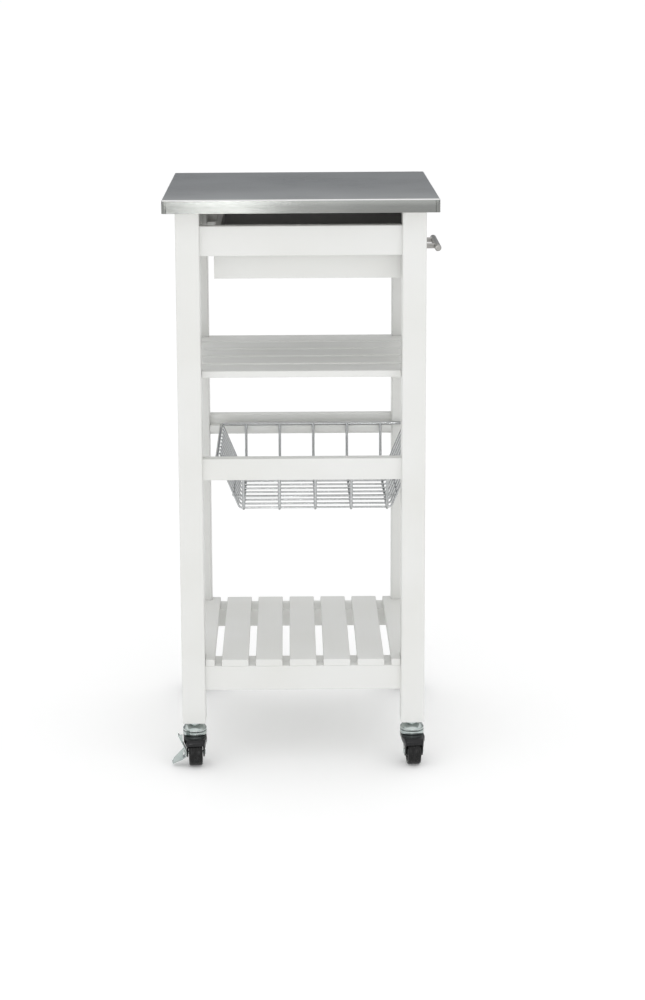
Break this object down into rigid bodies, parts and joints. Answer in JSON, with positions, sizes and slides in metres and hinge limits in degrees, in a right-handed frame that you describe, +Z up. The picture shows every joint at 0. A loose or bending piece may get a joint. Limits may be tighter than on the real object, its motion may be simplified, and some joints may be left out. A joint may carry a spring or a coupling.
{
  "type": "rolling utility cart",
  "caption": "Narrow rolling kitchen cart with a steel-clad worktop, side drawer, slatted shelves, pull-out wire basket and swivel casters.",
  "frame": {"origin": "on the floor, under the middle of the whole cart's bounding box", "axes": "+Z up, +X the way the drawer and basket pull out, +Y towards the far side"},
  "size_m": [0.4115, 0.3762, 0.86],
  "materials": {
    "brushed_top": "brushed stainless sheet",
    "core_board": "raw fibreboard",
    "white_lacquer": "satin white lacquer on solid wood",
    "drawer_board": "white lacquer outside, dark grey lining inside",
    "lining_board": "dark grey foil on hardboard",
    "dowel_wood": "raw beech",
    "satin_handle": "brushed nickel plate",
    "chromed_wire": "bright chrome plate",
    "zinc_plate": "bright zinc plate",
    "black_fork": "gloss black enamel",
    "black_wheel": "moulded black nylon"
  },
  "bodies": {
    "frame": {"basket_runners": "white_lacquer", "caster_inserts": "zinc_plate", "drawer_runners": "white_lacquer", "far_basket_rail": "white_lacquer", "far_left_leg": "white_lacquer", "far_left_stem": "zinc_plate", "far_low_rail": "white_lacquer", "far_right_leg": "white_lacquer", "far_right_stem": "zinc_plate", "far_upper_rail": "white_lacquer", "left_low_rail": "white_lacquer", "left_mid_rail": "white_lacquer", "left_top_rail": "white_lacquer", "low_shelf_battens": "white_lacquer", "low_shelf_slats": "white_lacquer", "mid_shelf_slats": "white_lacquer", "near_basket_rail": "white_lacquer", "near_left_leg": "white_lacquer", "near_left_stem": "zinc_plate", "near_low_rail": "white_lacquer", "near_right_leg": "white_lacquer", "near_right_stem": "zinc_plate", "near_upper_rail": "white_lacquer", "rail_dowels": "dowel_wood", "right_low_rail": "white_lacquer", "right_mid_rail": "white_lacquer", "right_top_rail": "white_lacquer", "top_screws": "zinc_plate", "worktop_core": "core_board", "worktop_skin": "brushed_top"},
    "drawer": {"drawer_front": "drawer_board", "drawer_back": "drawer_board", "drawer_floor": "lining_board", "near_drawer_side": "drawer_board", "far_drawer_side": "drawer_board", "handle_bar": "satin_handle", "handle_posts": "satin_handle", "handle_screws": "zinc_plate"},
    "basket": {"basket_far_grille": "chromed_wire", "basket_floor_grille": "chromed_wire", "basket_left_grille": "chromed_wire", "basket_near_grille": "chromed_wire", "basket_right_grille": "chromed_wire", "basket_rim": "chromed_wire"},
    "near_left_caster": {"near_left_fork": "black_fork", "near_left_axle": "zinc_plate"},
    "near_left_caster_wheel": {"near_left_wheel": "black_wheel"},
    "near_left_brake": {"near_left_brake_lever": "zinc_plate"},
    "near_right_caster": {"near_right_fork": "black_fork", "near_right_axle": "zinc_plate"},
    "near_right_caster_wheel": {"near_right_wheel": "black_wheel"},
    "far_left_caster": {"far_left_fork": "black_fork", "far_left_axle": "zinc_plate"},
    "far_left_caster_wheel": {"far_left_wheel": "black_wheel"},
    "far_right_caster": {"far_right_fork": "black_fork", "far_right_axle": "zinc_plate"},
    "far_right_caster_wheel": {"far_right_wheel": "black_wheel"},
    "far_right_brake": {"far_right_brake_lever": "zinc_plate"}
  },
  "joints": [
    {"name": "drawer_slide", "type": "slide", "parent": "frame", "child": "drawer", "axis": [1, 0, 0], "range_m": [0, 0.22]},
    {"name": "basket_slide", "type": "slide", "parent": "frame", "child": "basket", "axis": [1, 0, 0], "range_m": [0, 0.2]},
    {"name": "near_left_swivel", "type": "hinge", "parent": "frame", "child": "near_left_caster", "pos_m": [-0.17025, -0.1495, 0.05], "axis": [0, 0, 1], "continuous": true},
    {"name": "near_left_roll", "type": "hinge", "parent": "near_left_caster", "child": "near_left_caster_wheel", "pos_m": [-0.16868, -0.16743, 0.02], "axis": [0.9962, 0.0872, 0], "continuous": true},
    {"name": "near_left_brake_turn", "type": "hinge", "parent": "near_left_caster", "child": "near_left_brake", "pos_m": [-0.16868, -0.16743, 0.02], "axis": [0.9962, 0.0872, 0], "range_deg": [0, 18]},
    {"name": "near_right_swivel", "type": "hinge", "parent": "frame", "child": "near_right_caster", "pos_m": [0.15875, -0.1495, 0.05], "axis": [0, 0, 1], "continuous": true},
    {"name": "near_right_roll", "type": "hinge", "parent": "near_right_caster", "child": "near_right_caster_wheel", "pos_m": [0.16001, -0.16746, 0.02], "axis": [0.9976, 0.0698, 0], "continuous": true},
    {"name": "far_left_swivel", "type": "hinge", "parent": "frame", "child": "far_left_caster", "pos_m": [-0.17025, 0.1495, 0.05], "axis": [0, 0, 1], "continuous": true},
    {"name": "far_left_roll", "type": "hinge", "parent": "far_left_caster", "child": "far_left_caster_wheel", "pos_m": [-0.17786, 0.16581, 0.02], "axis": [-0.9063, -0.4226, 0], "continuous": true},
    {"name": "far_right_swivel", "type": "hinge", "parent": "frame", "child": "far_right_caster", "pos_m": [0.15875, 0.1495, 0.05], "axis": [0, 0, 1], "continuous": true},
    {"name": "far_right_roll", "type": "hinge", "parent": "far_right_caster", "child": "far_right_caster_wheel", "pos_m": [0.16188, 0.16723, 0.02], "axis": [-0.9848, 0.1736, 0], "continuous": true},
    {"name": "far_right_brake_turn", "type": "hinge", "parent": "far_right_caster", "child": "far_right_brake", "pos_m": [0.16188, 0.16723, 0.02], "axis": [-0.9848, 0.1736, 0], "range_deg": [0, 18]}
  ]
}
